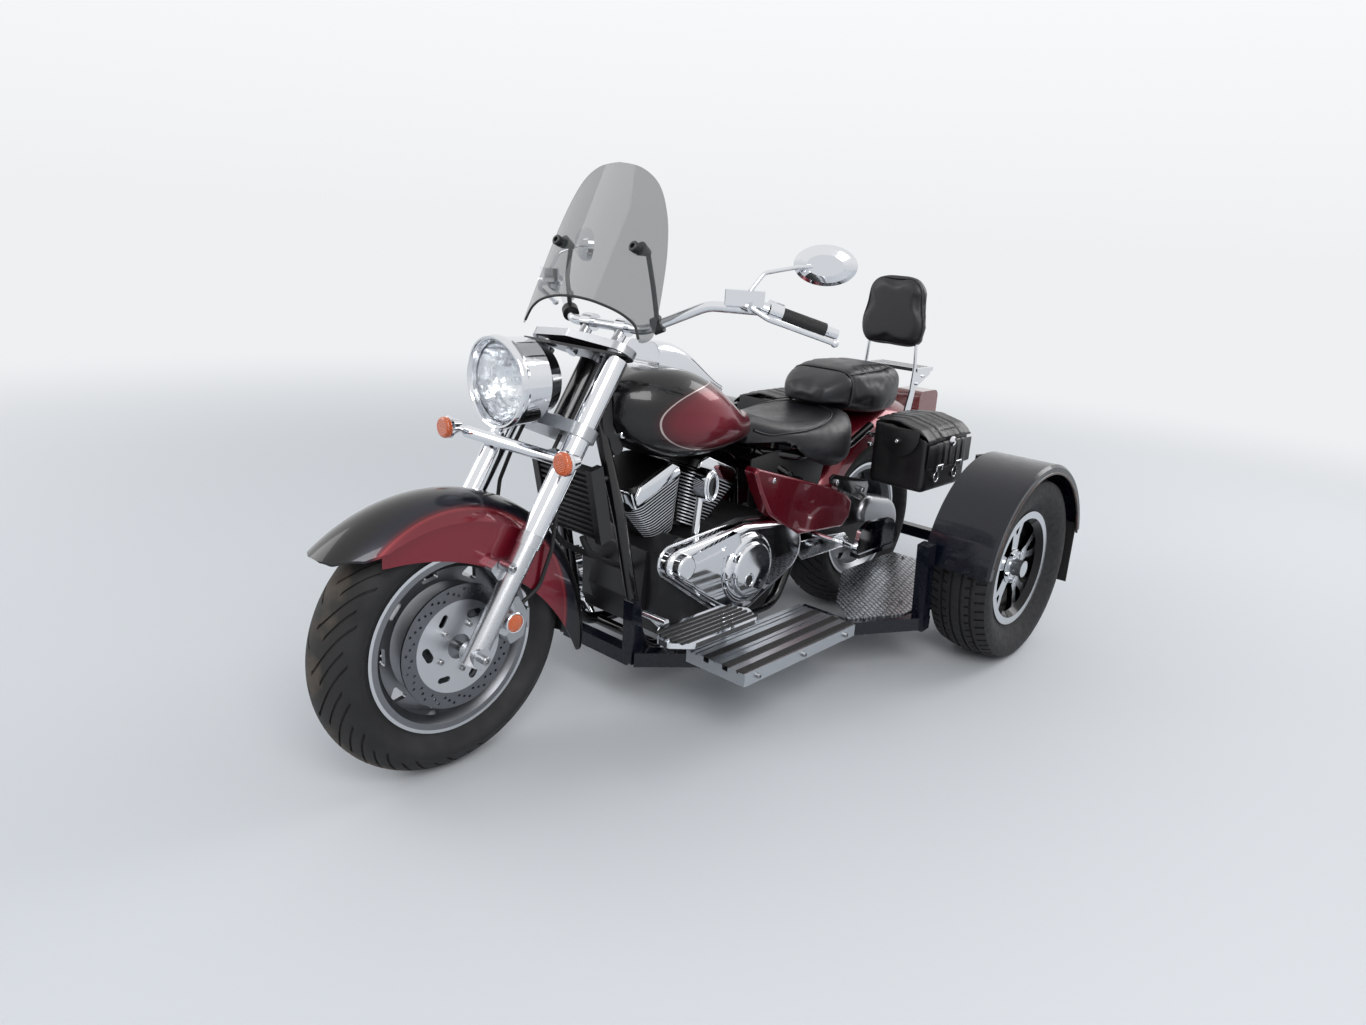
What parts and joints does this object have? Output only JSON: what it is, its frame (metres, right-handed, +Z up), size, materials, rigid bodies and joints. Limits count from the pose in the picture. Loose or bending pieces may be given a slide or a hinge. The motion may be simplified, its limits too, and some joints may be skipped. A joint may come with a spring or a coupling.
{
  "type": "cruiser motorcycle with side wheels",
  "caption": "Cruiser motorcycle with a V-twin engine, a windshield, saddlebags and a bolt-on frame of side wheels that keeps it upright; it steers, rolls and its bags open.",
  "frame": {"origin": "on the floor, under the middle of the bounding box", "axes": "+Z up, -Y the way it drives, +X its left side"},
  "size_m": [1.408, 2.525, 1.4129],
  "materials": {
    "frame": "gloss",
    "chrome": "polished",
    "cast_alloy": "satin",
    "black_alloy": "satin",
    "paint": "candy gloss",
    "kit_paint": "gloss",
    "steel": "brushed",
    "leather": "grained",
    "seat": "grained",
    "rubber": "matte",
    "tyre": "matte",
    "plastic": "matte",
    "amber": "clear",
    "lamp": "clear",
    "screen": "smoked clear",
    "lens": "clear",
    "checker": "chequered"
  },
  "bodies": {
    "chassis": {"frame": "frame", "neck_covers": "black_alloy", "engine_cases": "black_alloy", "cylinders": "black_alloy", "primary_cover": "chrome", "clutch_cover": "chrome", "intake_cover": "chrome", "oil_cooler": "black_alloy", "exhaust": "chrome", "fuel_tank": "paint", "tank_console": "chrome", "rider_seat": "seat", "passenger_seat": "seat", "side_covers": "paint", "rear_fender": "paint", "rear_lamps": "lamp", "swingarm": "black_alloy", "final_drive": "cast_alloy", "rear_axle": "steel", "floorboards": "chrome", "foot_controls": "chrome", "luggage_rack": "chrome", "backrest_pad": "seat", "saddlebags": "leather", "kit_frame": "kit_paint", "kit_deck": "checker", "side_steps": "checker", "kit_fenders": "kit_paint", "mud_flaps": "rubber"},
    "fork": {"triple_clamps": "cast_alloy", "fork_legs": "cast_alloy", "fork_tubes": "chrome", "front_axle": "steel", "front_fender": "paint", "brake_calipers": "cast_alloy", "headlamp": "chrome", "headlamp_lens": "lens", "lamp_plate": "black_alloy", "front_indicators": "chrome", "indicator_lenses": "amber", "handlebar": "chrome", "grips": "rubber", "hand_controls": "chrome", "mirrors": "chrome", "windshield": "screen", "windshield_brackets": "plastic", "brake_hoses": "rubber"},
    "front_wheel": {"front_wheel": "cast_alloy", "front_tyre": "tyre", "front_discs": "steel"},
    "rear_wheel": {"rear_wheel": "cast_alloy", "rear_tyre": "tyre", "rear_disc": "steel"},
    "side_wheel_left": {"side_wheel_left": "cast_alloy", "side_tyre_left": "tyre"},
    "side_wheel_right": {"side_wheel_right": "cast_alloy", "side_tyre_right": "tyre"},
    "side_stand": {"side_stand": "chrome"},
    "bag_lid_left": {"bag_lid_left": "leather"},
    "bag_lid_right": {"bag_lid_right": "leather"}
  },
  "joints": [
    {"name": "steering", "type": "hinge", "parent": "chassis", "child": "fork", "pos_m": [0, -0.5766, 0.8], "axis": [0, 0.5299, 0.848], "range_deg": [-32, 32]},
    {"name": "front_wheel_spin", "type": "hinge", "parent": "fork", "child": "front_wheel", "pos_m": [0, -0.9395, 0.323], "axis": [1, 0, 0], "continuous": true},
    {"name": "rear_wheel_spin", "type": "hinge", "parent": "chassis", "child": "rear_wheel", "pos_m": [0, 0.7605, 0.3165], "axis": [1, 0, 0], "continuous": true},
    {"name": "side_wheel_left_spin", "type": "hinge", "parent": "chassis", "child": "side_wheel_left", "pos_m": [0.59, 0.7685, 0.3], "axis": [1, 0, 0], "continuous": true},
    {"name": "side_wheel_right_spin", "type": "hinge", "parent": "chassis", "child": "side_wheel_right", "pos_m": [-0.59, 0.7685, 0.3], "axis": [1, 0, 0], "continuous": true},
    {"name": "side_stand_fold", "type": "hinge", "parent": "chassis", "child": "side_stand", "pos_m": [0.198, -0.152, 0.171], "axis": [-1, 0, 0], "range_deg": [0, 80]},
    {"name": "bag_lid_left_open", "type": "hinge", "parent": "chassis", "child": "bag_lid_left", "pos_m": [0.193, 0.6965, 0.724], "axis": [0, -1, 0], "range_deg": [0, 88]},
    {"name": "bag_lid_right_open", "type": "hinge", "parent": "chassis", "child": "bag_lid_right", "pos_m": [-0.193, 0.6965, 0.724], "axis": [0, 1, 0], "range_deg": [0, 88]}
  ]
}
